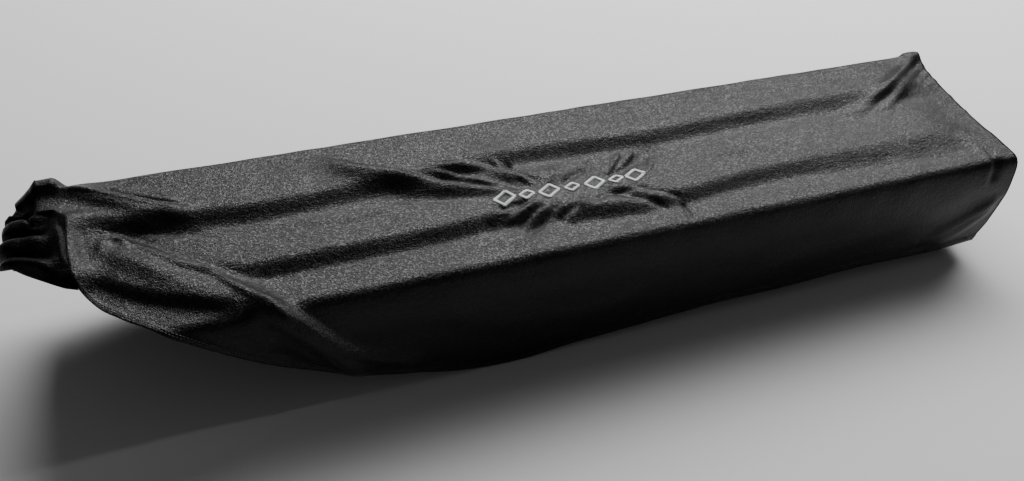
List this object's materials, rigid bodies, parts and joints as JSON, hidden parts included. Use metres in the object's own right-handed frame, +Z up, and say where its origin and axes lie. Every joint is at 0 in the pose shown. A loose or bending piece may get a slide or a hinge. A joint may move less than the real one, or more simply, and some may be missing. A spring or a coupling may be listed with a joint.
{
  "type": "piano cover",
  "caption": "Fitted black stretch velvet dust cover for a slim digital piano, hollow below, its front left corner drawn back over the top.",
  "frame": {"origin": "middle of the underside of the top, where the covered piano's top carries the cloth", "axes": "+X along the cover from its drawn back end to its straight end, +Y to the rear, +Z up"},
  "size_m": [1.348, 0.2891, 0.2072],
  "materials": {
    "velvet": "black stretch velvet with a soft sheen",
    "thread": "pale satin embroidery thread"
  },
  "bodies": {
    "root": {"main_panel": "velvet", "left_end_panel": "velvet", "right_end_panel": "velvet"}
  },
  "joints": []
}
